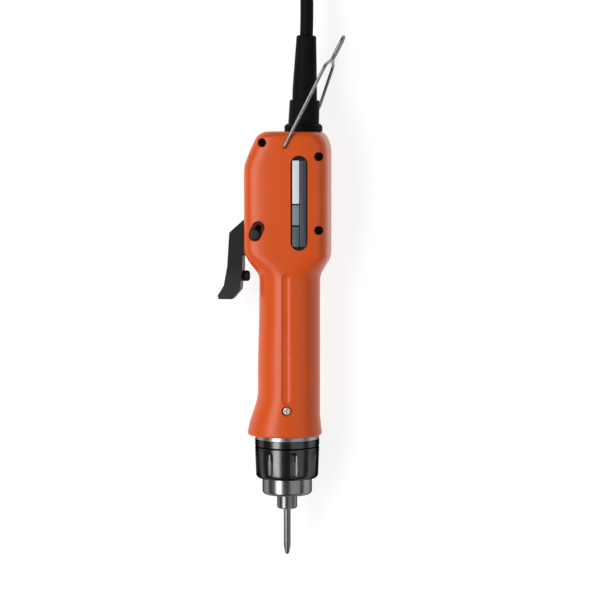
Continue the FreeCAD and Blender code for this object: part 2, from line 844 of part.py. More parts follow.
def make_gear_case():
    """Case with the flange that closes the housing and the tube that carries the rings."""
    tube_front = nose_back + fit_gap
    shoulder = train_front - 0.3
    case = turned([
        (tube_front, case_tube_bore), (tube_front, case_tube_radius), (case_front, case_tube_radius),
        (case_front, case_flange_radius), (0, case_flange_radius), (0, case_radius),
        (motor_y, case_radius), (motor_y, ring_gear_radius), (shoulder, ring_gear_radius), (shoulder, case_tube_bore),
    ])
    slot_start = seat_y + seat_thickness / 2 - seat_pin_radius - 0.3
    slot_end = seat_y + seat_thickness / 2 + seat_travel + seat_pin_radius + 0.3
    slot_half = seat_pin_radius + 0.15
    case = case.cut(box(-ring_radius, ring_radius, slot_start, slot_end, -slot_half, slot_half))
    hole = post(flute_x, handle_screw_y, 0, case_radius + 1, handle_screw_shank + 0.02)
    nodes["gear_case"] = case.cut(hole)


def make_rings():
    """Fixed scale ring and the turning torque collar with its grip flutes."""
    bore = case_tube_radius
    nodes["scale_ring"] = turned([
        (scale_front, bore), (scale_front, ring_radius - 0.4), (scale_front + 0.4, ring_radius),
        (case_front - 0.3, ring_radius), (case_front, ring_radius - 0.3), (case_front, bore),
    ])
    bore = case_tube_radius + running_clearance
    groove = case_tube_radius + 1.8
    groove_start = seat_y - 0.5
    groove_end = seat_y + seat_thickness + seat_travel + 0.5
    collar = turned([
        (collar_front, bore), (collar_front, collar_end_radius - 0.9), (collar_front + 1.2, collar_end_radius),
        (collar_back - 0.5, ring_radius), (collar_back, ring_radius - 0.5), (collar_back, bore),
        (groove_end, bore), (groove_end, groove), (groove_start, groove), (groove_start, bore),
    ])
    middle = (collar_front + collar_back) / 2
    half = collar_flute_length / 2 - collar_flute_depth
    out = ring_radius + collar_flute_radius - collar_flute_depth
    tool = rod(middle - half, middle + half, collar_flute_radius, 0, 0, out)
    for y in (middle - half, middle + half):
        tool = tool.fuse(Part.makeSphere(collar_flute_radius, Vector(0, y, out)))
    cuts = [about_axis(tool, collar_flute_turn + 360 * i / collar_flutes) for i in range(collar_flutes)]
    nodes["torque_collar"] = collar.cut(cuts)


def make_nose():
    """Steel nose cap with the bearing that carries the spindle."""
    sleeve_bore = sleeve_radius + sleeve_bore_clearance
    spigot = case_tube_bore - running_clearance
    cap = turned([
        (nose_front, sleeve_bore), (nose_front, nose_radius), (nose_back, nose_radius), (nose_back, spigot),
        (spigot_back, spigot), (spigot_back, bearing_radius), (bearing_y, bearing_radius), (bearing_y, sleeve_bore),
    ])
    edge = [e for e in cap.Edges if abs(e.CenterOfMass.y - nose_front) < 0.01 and e.Length > 80]
    nodes["nose_cap"] = cap.makeFillet(nose_edge, edge)
    bore = spindle_radius + running_clearance
    nodes["nose_bearing"] = rod(bearing_y, bearing_y + bearing_length, bearing_radius, bore)


# Motor

def make_motor():
    """Brushed motor: can, magnets, armature on its shaft, commutator, brushes and end cap."""
    shaft_hole = motor_shaft_radius + running_clearance
    inner = motor_radius - motor_wall
    nodes["motor_can"] = turned([
        (motor_y, shaft_hole), (motor_y, motor_radius), (motor_end, motor_radius), (motor_end, inner),
        (motor_y + 2, inner), (motor_y + 2, shaft_hole),
    ])
    magnet = rod(motor_y + 6, motor_end - 10, inner, inner - magnet_thickness)
    sector = box(-inner * 0.94, inner * 0.94, motor_y, motor_end, 4.0, inner + 1)
    nodes["motor_magnets"] = Part.makeCompound([magnet.common(sector), magnet.common(about_axis(sector, 180))])
    core_radius = inner - magnet_thickness - air_gap
    core = rod(motor_y + 8, motor_end - 14, core_radius, motor_shaft_radius)
    slots = []
    for i in range(5):
        slot = box(-0.7, 0.7, motor_y, motor_end, core_radius - 3.2, core_radius + 1)
        slots.append(about_axis(slot, 72 * i))
    nodes["armature"] = core.cut(slots)
    nodes["commutator"] = rod(motor_end - 12, motor_end - 3, 3.6, motor_shaft_radius)
    shaft = rod(motor_y - 0.4, motor_end + 4, motor_shaft_radius)
    shaft = shaft.fuse(rod(first_planet_y - 0.2, motor_y - 0.4, pinion_bore))
    nodes["motor_shaft"] = shaft.removeSplitter()
    cap = turned([
        (motor_end, shaft_hole), (motor_end, motor_radius), (motor_end + end_cap_length - 1.5, motor_radius),
        (motor_end + end_cap_length, motor_radius - 1.5), (motor_end + end_cap_length, 0),
        (motor_end + 5, 0), (motor_end + 5, shaft_hole),
    ])
    nodes["motor_end_cap"] = cap
    brushes = []
    for side in (-1, 1):
        near, far = sorted((side * 3.65, side * (inner - 0.1)))
        brush = box(near, far, motor_end - 9, motor_end - 5, -1.5, 1.5)
        brushes.append(brush.cut(rod(motor_end - 10, motor_end, 3.62)))
    nodes["carbon_brushes"] = Part.makeCompound(brushes)


def make_gears():
    """Two planetary stages in one ring gear."""
    nodes["sun_pinion"] = gear(sun_teeth, first_planet_y, face_width, 0.0, pinion_bore)
    planet_bore = planet_pin_radius + running_clearance
    for name, y in (("first", first_planet_y), ("second", second_planet_y)):
        for i in range(planet_count):
            angle = planet_angle(i)
            x = centre_distance * math.cos(angle)
            z = -centre_distance * math.sin(angle)
            wheel = gear(planet_teeth, y, face_width, planet_turn(i), planet_bore, x, z)
            nodes[f"{name}_planet_{i + 1}"] = wheel
    pitch = gear_module * ring_teeth / 2
    gap = gear_face(ring_teeth, pitch + 1.2 * gear_module, pitch - 0.7 * gear_module, -gear_backlash, ring_turn())
    start = second_planet_y - 0.2
    end = first_planet_y + face_width + 0.2
    opening = gap.extrude(Vector(0, end - start + 2, 0))
    opening.translate(Vector(0, start - 1, 0))
    nodes["ring_gear"] = rod(start, end, ring_gear_radius).cut(opening)


def planet_pins(y_start, length):
    """Pins of a carrier, one for each planet."""
    pins = []
    for i in range(planet_count):
        angle = planet_angle(i)
        x = centre_distance * math.cos(angle)
        z = -centre_distance * math.sin(angle)
        pins.append(rod(y_start, y_start + length, planet_pin_radius, 0, x, z))
    return pins


def make_carriers():
    """First carrier with the second sun, and second carrier with the pockets of the clutch."""
    plate = rod(first_carrier_y, first_carrier_y + first_carrier_thickness, carrier_radius)
    sun = gear(sun_teeth, second_planet_y, face_width + train_gap, 0.0)
    pins = planet_pins(first_carrier_y + 0.5, first_carrier_thickness - 0.5 + train_gap + face_width + 0.2)
    nodes["first_carrier"] = plate.fuse([sun] + pins).removeSplitter()
    bore = spindle_tail_radius + running_clearance
    plate = rod(train_front, train_front + second_carrier_thickness, carrier_radius, bore)
    pins = planet_pins(train_front + 2.0, second_carrier_thickness - 2.0 + train_gap + face_width + 0.2)
    plate = plate.fuse(pins).removeSplitter()
    nodes["second_carrier"] = plate.cut(clutch_pockets())


def ball_places():
    """Centres of the clutch balls, midway in the gap."""
    y = train_front - clutch_gap / 2
    angles = [math.radians(60 + 120 * i) for i in range(3)]
    return [Vector(ball_circle * math.cos(a), y, -ball_circle * math.sin(a)) for a in angles]


def clutch_pockets():
    """Pockets that the clutch balls sit in."""
    return [Part.makeSphere(ball_radius + running_clearance, place) for place in ball_places()]


def hex_prism(flats, y_start, y_end):
    """Hexagonal bar along Y."""
    corner = flats / math.sqrt(3)
    points = []
    for i in range(7):
        angle = math.radians(60 * i)
        points.append(Vector(corner * math.cos(angle), y_start, corner * math.sin(angle)))
    return Part.Face(Part.makePolygon(points)).extrude(Vector(0, y_end - y_start, 0))


def make_clutch():
    """Balls, driven plate, washer, torque spring and its seat."""
    nodes["clutch_balls"] = Part.makeCompound([Part.makeSphere(ball_radius, place) for place in ball_places()])
    plate_back = clutch_plate_y + clutch_plate_thickness
    plate = rod(clutch_plate_y, plate_back, carrier_radius)
    plate = plate.cut(hex_prism(spindle_flats + 0.1, clutch_plate_y - 1, plate_back + 1))
    nodes["clutch_plate"] = plate.cut(clutch_pockets())
    bore = spindle_mid_radius + fit_gap
    nodes["thrust_washer"] = rod(washer_y, washer_y + washer_thickness, case_tube_bore - fit_gap, bore)
    seat_back = seat_y + seat_thickness
    nodes["torque_spring"] = coil_spring(
        seat_back + 0.1, washer_y - 0.1, torque_spring_radius, torque_spring_wire, torque_spring_turns
    )
    seat = rod(seat_y, seat_back, case_tube_bore - running_clearance, bore)
    reach = case_tube_radius + 1.4
    middle = seat_y + seat_thickness / 2
    pins = Part.makeCylinder(seat_pin_radius, 2 * reach, Vector(-reach, middle, 0), Vector(1, 0, 0))
    pins = pins.cut(rod(seat_y - 1, seat_back + 1, bore))
    nodes["spring_seat"] = seat.fuse(pins).removeSplitter()


def make_spindle():
    """Output spindle: bit hole and ball hole in front, shoulder, hexagon and tail."""
    front = sleeve_front + 0.5
    shoulder = bearing_y + bearing_length + fit_gap
    plate_back = clutch_plate_y + clutch_plate_thickness
    bar = rod(front, shoulder, spindle_radius)
    bar = bar.fuse([
        rod(shoulder, shoulder + 1.4, spindle_shoulder_radius),
        rod(shoulder, clutch_plate_y, spindle_mid_radius),
        hex_prism(spindle_flats, clutch_plate_y, plate_back),
        rod(plate_back, train_front + second_carrier_thickness - 0.4, spindle_tail_radius),
    ]).removeSplitter()
    bar = bar.cut(rod(front - 1, sleeve_front + bit_depth, bit_radius + running_clearance))
    ball_y = sleeve_front + 4.6
    hole = Part.makeCylinder(bit_ball_radius + running_clearance, spindle_radius + 1, Vector(0, ball_y, 0))
    bar = bar.cut(hole)
    clip_y = front + 0.4
    nodes["output_spindle"] = bar.cut(rod(clip_y, clip_y + 0.6, spindle_radius + 1, spindle_radius - 0.5))
    clip = rod(clip_y, clip_y + 0.6, spindle_radius + 0.7, spindle_radius - 0.5)
    gap = box(-1.8, 1.8, clip_y - 1, clip_y + 2, -spindle_radius - 2, 0)
    nodes["sleeve_clip"] = clip.cut(gap)
    centre = bit_radius - bit_groove + bit_ball_radius
    nodes["bit_ball"] = Part.makeSphere(bit_ball_radius - 0.02, Vector(0, ball_y, centre))


def make_sleeve():
    """Quick-change sleeve over the spindle, with its spring."""
    front = sleeve_front
    back = nose_front + sleeve_hidden
    clip_back = sleeve_front + 0.5 + 0.4 + 0.6
    bore = spindle_radius + running_clearance
    counterbore = spindle_radius + 0.9
    spring_room = spindle_radius + 1.1
    room_start = back - 5.0
    sleeve = turned([
        (front, counterbore), (front, sleeve_radius - 0.7), (front + 0.7, sleeve_radius), (back, sleeve_radius),
        (back, spring_room), (room_start, spring_room), (room_start, bore),
        (clip_back + 0.1, bore), (clip_back + 0.1, counterbore),
    ])
    nodes["bit_sleeve"] = sleeve
    spring_end = bearing_y - 0.1
    nodes["sleeve_spring"] = coil_spring(room_start + 0.1, spring_end, spindle_radius + 0.55, 0.6, 5)


def make_bit():
    """Screwdriver bit: cross tip, round shank, ball groove and flat at the back."""
    back = sleeve_front + bit_depth - 0.4
    bit = turned([
        (bit_tip, 0), (bit_tip, bit_tip_radius * 0.5), (bit_tip + 0.9, bit_tip_radius + 0.35),
        (bit_tip + 5.0, bit_radius), (back - 0.4, bit_radius), (back, bit_radius - 0.4), (back, 0),
    ])
    flute = rod(bit_tip - 1, bit_tip + 3.2, 0.62, 0, 1.28, 0)
    flute.rotate(Vector(1.28, bit_tip, 0), Vector(0, 0, 1), -9)
    flute = about_axis(flute, 45)
    bit = bit.cut([about_axis(flute, 90 * i) for i in range(4)])
    centre = bit_radius - bit_groove + bit_ball_radius
    groove = Part.makeTorus(centre, bit_ball_radius + 0.03, Vector(0, sleeve_front + 4.6, 0), Vector(0, 1, 0))
    nodes["bit"] = bit.cut(groove)


# Cord, coil, tie and plug

def lead_route(level):
    """Corners of the free lead, from the guard's tip to the coil's lowest turn."""
    lean = math.radians(guard_lean)
    across = guard_x + guard_height * math.sin(lean)
    route = [Vector(across, housing_length + guard_height * math.cos(lean), 0)]
    for length, heading, share in lead_runs:
        angle = math.radians(heading)
        drop = share * level - route[-1].z
        flat = math.sqrt(length ** 2 - drop ** 2)
        route.append(route[-1] + Vector(-flat * math.sin(angle), flat * math.cos(angle), drop))
    return route


def make_cord():
    """Lead to the table, the coil that the unseen length makes, its tie and the plug."""
    bottom = coil_lift - rest_height
    route = lead_route(bottom + cord_diameter / 2)
    tube, length, radii = swept_round(route, cord_diameter, even_bend)
    print("lead corners", [tuple(round(v, 2) for v in point) for point in route])
    print("lead radii", [round(r, 1) for r in radii], "length", round(length, 1))
    nodes["cord"] = tube
    heading = math.radians(lead_runs[-1][1])
    along = Vector(-math.sin(heading), math.cos(heading), 0)
    right = Vector(math.cos(heading), math.sin(heading), 0)
    centre = route[-1] - along * lead_inside_coil + right * (coil_mid_radius + cord_diameter)
    centre.z = bottom
    width = coil_columns * cord_diameter
    height = coil_rows * cord_diameter
    corner = cord_diameter / 2 - 0.1
    inner = coil_mid_radius - width / 2
    block = Part.makeCylinder(inner + width, height, centre)
    block = block.cut(Part.makeCylinder(inner, height + 2, centre - Vector(0, 0, 1)))
    rims = [edge for edge in block.Edges if edge.Curve.TypeId == "Part::GeomCircle"]
    nodes["cord_coil"] = block.makeFillet(corner, rims)
    print("coil centre", centre)
    make_tie(centre, width, height)
    plug_level = bottom + height + fit_gap + plug_ring_radius
    make_cord_end(centre, bottom + height - cord_diameter / 2, plug_level)
    make_plug(Vector(centre.x + coil_mid_radius, centre.y - plug_tail, plug_level))


def make_cord_end(centre, low, high):
    """End of the lead: round the top of the coil and up to the plug that lies on it."""
    step = math.radians(15)
    reach = coil_mid_radius / math.cos(step)
    points = [Vector(-12, coil_mid_radius, low)]
    for corner, share in ((5, 0.12), (3, 0.5), (1, 0.88)):
        angle = corner * step
        points.append(Vector(reach * math.cos(angle), reach * math.sin(angle), low + share * (high - low)))
    points.append(Vector(coil_mid_radius, -plug_tail, high))
    points = [point + Vector(centre.x, centre.y, 0) for point in points]
    nodes["cord_end"], length, radii = swept_round(points, cord_diameter, even_bend)
    print("end radii", [round(r, 1) for r in radii], "length", round(length, 1))


def make_tie(centre, width, height):
    """Band round the coil's turns on the side away from the tool."""
    gap = 0.3
    round_radius = 3.6
    low = centre.z - gap - tie_thickness
    high = centre.z + height + gap + tie_thickness
    half = width / 2 + gap + tie_thickness + 0.6
    band = box(-tie_width / 2, tie_width / 2, coil_mid_radius - half, coil_mid_radius + half, low, high)
    band = band.makeFillet(round_radius, long_edges(band))
    half -= tie_thickness
    room = box(
        -tie_width, tie_width, coil_mid_radius - half, coil_mid_radius + half,
        low + tie_thickness, high - tie_thickness,
    )
    band = band.cut(room.makeFillet(round_radius - tie_thickness, long_edges(room)))
    band.rotate(Vector(0, 0, 0), Vector(0, 0, 1), tie_place - 90)
    band.translate(Vector(centre.x, centre.y, 0))
    nodes["cord_tie"] = band


def long_edges(block):
    """Edges of a block that run along X."""
    return [edge for edge in block.Edges if abs(edge.Vertexes[0].X - edge.Vertexes[-1].X) > 1]


def make_plug(tail):
    """Round plug on the coil: grip with its tail, lock ring and pins."""
    ring_start = tail.y - plug_length + plug_ring_length
    face = tail.y - plug_length
    nose = face - plug_nose_length
    nodes["plug_body"] = turned([
        (tail.y, 0), (tail.y, plug_tail_radius), (tail.y - 11, plug_tail_radius + 0.8),
        (tail.y - 12, plug_radius - 0.6), (tail.y - 13.5, plug_radius),
        (ring_start, plug_radius), (ring_start, plug_core_radius), (face, plug_core_radius), (face, 0),
    ], tail.x, tail.z)
    bore = plug_core_radius + running_clearance
    shell = plug_ring_radius - 1.4
    nodes["plug_ring"] = turned([
        (ring_start - 0.3, bore), (ring_start - 0.3, plug_ring_radius - 0.4), (ring_start - 0.7, plug_ring_radius),
        (nose + 0.6, plug_ring_radius), (nose, plug_ring_radius - 0.6), (nose, shell), (face, shell), (face, bore),
    ], tail.x, tail.z)
    circle = plug_core_radius - 3.0
    pins = []
    for i in range(plug_pin_count):
        angle = 2 * math.pi * i / plug_pin_count + math.pi / 2
        place = Vector(tail.x + circle * math.cos(angle), face, tail.z + circle * math.sin(angle))
        pins.append(Part.makeCylinder(plug_pin_radius, plug_pin_length, place, Vector(0, -1, 0)))
    nodes["plug_pins"] = Part.makeCompound(pins)
    print("plug end", tail.x, nose, tail.z)


cord_nodes = ("cord", "cord_coil", "cord_end", "cord_tie", "plug_body", "plug_ring", "plug_pins")


def home():
    """Where the tool frame's origin goes: the tool without its lead stands centred on z = 0."""
    low = Vector(1e9, 1e9, 1e9)
    high = Vector(-1e9, -1e9, -1e9)
    for name, shape in nodes.items():
        if name in cord_nodes:
            continue
        bounds = shape.optimalBoundingBox(True, False)
        low = Vector(min(low.x, bounds.XMin), min(low.y, bounds.YMin), min(low.z, bounds.ZMin))
        high = Vector(max(high.x, bounds.XMax), max(high.y, bounds.YMax), max(high.z, bounds.ZMax))
    return Vector(-(low.x + high.x) / 2, -(low.y + high.y) / 2, rest_height), low, high


def build():
    """All pieces, moved home and written one file each."""
    make_shells()
    make_screws()
    make_name_plate()
    make_lever()
    make_switch()
    make_selector()
    make_bail()
    make_guard()
    make_gear_case()
    make_rings()
    make_nose()
    make_motor()
    make_gears()
    make_carriers()
    make_clutch()
    make_spindle()
    make_sleeve()
    make_bit()
    make_cord()
    move, low, high = home()
    print("home", move, "low", low, "high", high)
    os.makedirs("parts", exist_ok=True)
    for name, shape in nodes.items():
        solids = shape.Solids
        placed = Part.makeCompound(solids) if len(solids) > 1 else solids[0]
        placed.translate(move)
        if not placed.isValid():
            print("not valid:", name)
        placed.exportStep(f"parts/{name}.step")
    print(len(nodes), "nodes")


build()
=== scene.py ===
import json
import math
import bpy
from mathutils import Matrix, Vector


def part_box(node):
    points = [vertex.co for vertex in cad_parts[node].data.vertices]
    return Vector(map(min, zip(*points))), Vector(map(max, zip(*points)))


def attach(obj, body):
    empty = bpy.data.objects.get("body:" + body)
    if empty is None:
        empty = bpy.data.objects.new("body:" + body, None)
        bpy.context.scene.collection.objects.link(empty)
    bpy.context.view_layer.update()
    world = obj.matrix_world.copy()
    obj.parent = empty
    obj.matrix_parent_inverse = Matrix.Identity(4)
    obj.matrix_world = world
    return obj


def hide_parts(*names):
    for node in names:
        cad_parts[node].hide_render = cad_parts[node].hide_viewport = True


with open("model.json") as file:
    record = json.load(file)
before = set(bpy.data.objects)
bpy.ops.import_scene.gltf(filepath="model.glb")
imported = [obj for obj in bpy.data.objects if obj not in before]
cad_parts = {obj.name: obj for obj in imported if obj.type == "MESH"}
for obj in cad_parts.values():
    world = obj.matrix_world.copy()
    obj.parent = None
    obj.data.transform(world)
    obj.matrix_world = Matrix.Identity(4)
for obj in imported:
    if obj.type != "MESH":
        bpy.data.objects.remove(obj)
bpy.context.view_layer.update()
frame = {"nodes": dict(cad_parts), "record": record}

bodies = frame["record"]["behaviour"]["bodies"]
bodyOf = {node: body for body, members in bodies.items() for node in members}
slotOf = {part["node"]: part["material_slot"] for part in frame["record"]["subparts"]}
home = Vector((3.62203, -79.42788, 21.5))  # where the tool's own origin lies, in mm


def rowPoint(x, y, z=0.0):
    # a point of the tool's own frame in mm, as a place in the row frame in metres
    return (Vector((x, y, z)) + home) / 1000


def clearSelection():
    if bpy.context.object and bpy.context.object.mode != "OBJECT":
        bpy.ops.object.mode_set(mode="OBJECT")
    bpy.ops.object.select_all(action="DESELECT")


def choose(piece):
    clearSelection()
    piece.select_set(True)
    bpy.context.view_layer.objects.active = piece


clearSelection()


# Camera, a little towards +X of straight above, with the tool upright in the picture

view = {
    "place": Vector((0.163, 0.10285, 1.3215)),
    "target": Vector((0.0109, -0.00355, 0.0215)),
    "lens": 140.7,
}


def makeCamera():
    bpy.ops.object.camera_add()
    camera = bpy.context.object
    ahead = (view["target"] - view["place"]).normalized()
    right = ahead.cross(Vector((0, 1, 0))).normalized()
    up = right.cross(ahead)
    turn = Matrix((right, up, -ahead)).transposed()
    camera.matrix_world = Matrix.Translation(view["place"]) @ turn.to_4x4()
    camera.data.lens = view["lens"]
    camera.data.sensor_width = 36
    camera.data.clip_end = 20
    bpy.context.scene.camera = camera


makeCamera()
print("camera placed")


# Shader maths: a wrapped socket takes part in sums, and each sum adds its node

class Number:
    def __init__(self, recipe, socket):
        self.recipe = recipe
        self.socket = socket

    def __add__(self, other):
        return self.recipe.maths("ADD", self, other)

    def __radd__(self, other):
        return self.recipe.maths("ADD", other, self)

    def __sub__(self, other):
        return self.recipe.maths("SUBTRACT", self, other)

    def __mul__(self, other):
        return self.recipe.maths("MULTIPLY", self, other)

    def __gt__(self, other):
        return self.recipe.maths("GREATER_THAN", self, other)


class Recipe:
    def __init__(self, name, fixed):
        self.material = bpy.data.materials.new(name)
        self.material.use_nodes = True
        self.tree = self.material.node_tree
        self.surface = self.tree.nodes["Principled BSDF"]
        for socket, value in fixed.items():
            self.surface.inputs[socket].default_value = value
        self.place = self.add("ShaderNodeTexCoord", {}, {}).outputs["Object"]

    def add(self, kind, settings, values):
        node = self.tree.nodes.new(kind)
        for key, value in settings.items():
            setattr(node, key, value)
        for key, value in values.items():
            self.feed(node.inputs[key], value)
        return node

    def feed(self, socket, value):
        if isinstance(value, Number):
            value = value.socket
        if isinstance(value, bpy.types.NodeSocket):
            self.tree.links.new(value, socket)
        else:
            socket.default_value = value

    def maths(self, operation, *values):
        node = self.add("ShaderNodeMath", {"operation": operation}, dict(enumerate(values)))
        return Number(self, node.outputs[0])

    def smoothStep(self, value, start, end):
        smooth = {"interpolation_type": "SMOOTHSTEP"}
        node = self.add("ShaderNodeMapRange", smooth, {0: value, 1: start, 2: end})
        return Number(self, node.outputs[0])

    def axes(self):
        node = self.add("ShaderNodeSeparateXYZ", {}, {0: self.place})
        return [Number(self, output) for output in node.outputs]

    def noise(self, scale, detail, stretch=(1, 1, 1)):
        mapping = self.add("ShaderNodeMapping", {}, {"Vector": self.place, "Scale": stretch})
        values = {"Vector": mapping.outputs[0], "Scale": scale, "Detail": detail}
        return Number(self, self.add("ShaderNodeTexNoise", {}, values).outputs[0])

    def mix(self, factor, first, second):
        # sockets 0, 6, 7 and 2 are the factor, both colours and the colour that comes out
        node = self.add("ShaderNodeMix", {"data_type": "RGBA"}, {0: factor, 6: first, 7: second})
        return node.outputs[2]

    def colour(self, value):
        self.feed(self.surface.inputs["Base Color"], value)

    def roughness(self, value):
        self.feed(self.surface.inputs["Roughness"], value)

    def bump(self, height, distance, strength):
        values = {"Height": height, "Distance": distance, "Strength": strength}
        self.feed(self.surface.inputs["Normal"], self.add("ShaderNodeBump", {}, values).outputs[0])


def paint(red, green, blue):
    return (red, green, blue, 1.0)


# Finishes

# where the painted shade in the selector's well lies
selectorWellShade = {
    "centre": (-14.7, 115.2),
    "slant": 65.0,
    "halfRun": 2.3,
    "radius": 3.5,
    "fade": 0.2,
    "above": 0.03,  # metres over the table, so that only the upper shell has it
}


def mouldedOrange():
    # the well of the selector is painted dark, a painted shade that darkens the orange inside the recess
    recipe = Recipe("moulded orange", {"IOR": 1.3, "Specular IOR Level": 0.65})
    x, y, z = recipe.axes()
    cloud = recipe.noise(28, 3)
    fleck = recipe.noise(900, 2)
    base = recipe.mix(cloud, paint(0.62, 0.077, 0.0085), paint(0.7, 0.096, 0.012))
    base = recipe.mix((fleck > 0.66) * 0.12, base, paint(0.42, 0.05, 0.01))
    centre = rowPoint(*selectorWellShade["centre"])
    slant = math.radians(selectorWellShade["slant"])
    across = (x - centre[0]) * math.cos(slant) + (y - centre[1]) * math.sin(slant)
    beside = (y - centre[1]) * math.cos(slant) - (x - centre[0]) * math.sin(slant)
    halfRun, radius, fade = (selectorWellShade[key] / 1000 for key in ("halfRun", "radius", "fade"))
    beyond = recipe.maths("MAXIMUM", recipe.maths("ABSOLUTE", across) - halfRun, 0.0)
    reach = recipe.maths("SQRT", beyond * beyond + beside * beside)
    # painted shade: inside the well the orange is mixed to a dark red
    paintedWellShade = recipe.smoothStep(reach, radius, radius - fade) * (z > selectorWellShade["above"])
    recipe.colour(recipe.mix(paintedWellShade, base, paint(0.055, 0.006, 0.004)))
    recipe.roughness(0.26 + cloud * 0.06 + fleck * 0.04)
    spark = recipe.noise(2600, 2)
    recipe.bump(spark * 0.7 + recipe.noise(600, 1) * 0.3, 0.00004, 0.4)
    return recipe.material


def mouldedBlack(name, low, high, rough, grain=2400):
    recipe = Recipe(name, {"IOR": 1.35, "Specular IOR Level": 0.5})
    cloud = recipe.noise(60, 3)
    fine = recipe.noise(grain, 2)
    recipe.colour(recipe.mix(cloud, low, high))
    recipe.roughness(rough + cloud * 0.12 + fine * 0.06)
    recipe.bump(fine, 0.00004, 0.5)
    return recipe.material


# where the painted reflection on the lever's lower end starts and ends
leverSheen = {"from": 106.0, "to": 84.0, "smear": 0.012}


def leverBlack():
    # the lower end of the lever is painted a lighter grey, a painted reflection
    recipe = Recipe("lever plastic", {"IOR": 1.3, "Specular IOR Level": 0.4})
    x, y, z = recipe.axes()
    cloud = recipe.noise(90, 3)
    fine = recipe.noise(2400, 2)
    start, end = rowPoint(0, leverSheen["from"])[1], rowPoint(0, leverSheen["to"])[1]
    # painted reflection: lighter grey towards the lever's lower end
    paintedSheen = recipe.smoothStep(y + cloud * leverSheen["smear"], start, end)
    upperBlack = recipe.mix(cloud, paint(0.006, 0.009, 0.008), paint(0.012, 0.016, 0.014))
    sheenGrey = recipe.mix(cloud, paint(0.016, 0.014, 0.018), paint(0.036, 0.032, 0.039))
    recipe.colour(recipe.mix(paintedSheen, upperBlack, sheenGrey))
    recipe.roughness(0.34 + paintedSheen * 0.1 + cloud * 0.1)
    recipe.bump(fine, 0.00004, 0.5)
    return recipe.material


def softRubber(name, low, high):
    recipe = Recipe(name, {"IOR": 1.3, "Specular IOR Level": 0.12})
    cloud = recipe.noise(130, 3)
    fine = recipe.noise(1900, 3)
    recipe.colour(recipe.mix(cloud, low, high))
    recipe.roughness(0.52 + cloud * 0.14)
    recipe.bump(fine * 0.6 + recipe.noise(420, 2) * 0.4, 0.00008, 0.5)
    return recipe.material


roundTheAxis = (0.012, 1, 0.012)


def turnedMetal(name, low, high, rough):
    # fine tool marks run round the tool's axis
    recipe = Recipe(name, {"Metallic": 1.0, "Specular Tint": paint(0.12, 0.12, 0.13)})
    marks = recipe.noise(5200, 2, roundTheAxis)
    smear = recipe.noise(140, 3)
    recipe.colour(recipe.mix(marks * 0.6 + smear * 0.4, low, high))
    recipe.roughness(rough + marks * 0.14 + smear * 0.08)
    recipe.bump(marks, 0.00002, 0.5)
    return recipe.material


def drawnMetal(name, low, high, rough):
    recipe = Recipe(name, {"Metallic": 1.0})
    smear = recipe.noise(220, 3)
    fine = recipe.noise(3000, 2)
    recipe.colour(recipe.mix(smear, low, high))
    recipe.roughness(rough + smear * 0.2 + fine * 0.06)
    recipe.bump(fine, 0.00002, 0.5)
    return recipe.material


torqueRing = {
    "topY": -6.9,
    "topRadius": 18.1,
    "taper": 0.6 / 15.9,
    "depth": (0.0003, 0.0007),
    # the span of the painted highlight on the flutes' lower ends
    "paintedSheen": (-22.6, -12.9),
    "fade": 1.2,
    "core": (0.0155, 0.0158),
}


def ringBlack():
    # the lower ends of the grip flutes are painted a lighter beige grey, a painted highlight where they
    # catch the light
    recipe = Recipe("torque ring black", {"Metallic": 1.0, "Specular Tint": paint(0.01, 0.01, 0.01)})
    x, y, z = recipe.axes()
    across = x - home[0] / 1000
    up = z - home[2] / 1000
    reach = recipe.maths("SQRT", across * across + up * up)
    top = rowPoint(0, torqueRing["topY"])[1]
    full = (y - top) * torqueRing["taper"] + torqueRing["topRadius"] / 1000
    marks = recipe.noise(4800, 2, roundTheAxis)
    smear = recipe.noise(170, 3)
    fluteSheen = recipe.smoothStep(full - reach + smear * 0.0002, *torqueRing["depth"])
    low, high = torqueRing["paintedSheen"]
    for start, end in ((low, low + torqueRing["fade"]), (high, high - torqueRing["fade"])):
        fluteSheen = fluteSheen * recipe.smoothStep(y, rowPoint(0, start)[1], rowPoint(0, end)[1])
    fluteSheen = fluteSheen * recipe.smoothStep(reach, *torqueRing["core"])
    black = recipe.mix(smear, paint(0.06, 0.059, 0.062), paint(0.095, 0.093, 0.096))
    grey = recipe.mix(smear, paint(0.1, 0.09, 0.078), paint(0.17, 0.155, 0.13))
    # painted highlight: the flutes' lower ends are mixed to beige grey
    recipe.colour(recipe.mix(fluteSheen * 0.8, black, grey))
    recipe.roughness(0.16 + marks * 0.06 + smear * 0.06 + fluteSheen * 0.25)
    recipe.bump(marks, 0.00003, 0.4)
    return recipe.material


def plateLacquer(name, low, high, rough):
    recipe = Recipe(name, {"IOR": 1.3, "Specular IOR Level": 0.5})
    brushed = recipe.noise(2600, 2, (1, 0.02, 1))
    smear = recipe.noise(160, 3)
    recipe.colour(recipe.mix(brushed * 0.5 + smear * 0.5, low, high))
    recipe.roughness(rough + brushed * 0.12)
    recipe.bump(brushed, 0.00001, 0.5)
    return recipe.material


def wovenTie():
    recipe = Recipe("woven tie", {"Specular IOR Level": 0.2, "Sheen Weight": 0.4})
    x, y, z = recipe.axes()
    threads = 5200
    warp = recipe.maths("SINE", x * threads)
    weft = recipe.maths("SINE", (y + z) * threads)
    weave = (warp * weft + 1) * 0.5
    cloud = recipe.noise(200, 3)
    low, high = paint(0.008, 0.008, 0.009), paint(0.035, 0.035, 0.038)
    recipe.colour(recipe.mix(weave * 0.7 + cloud * 0.3, low, high))
    recipe.roughness(0.82 + cloud * 0.12)
    recipe.bump(weave, 0.0002, 0.6)
    return recipe.material


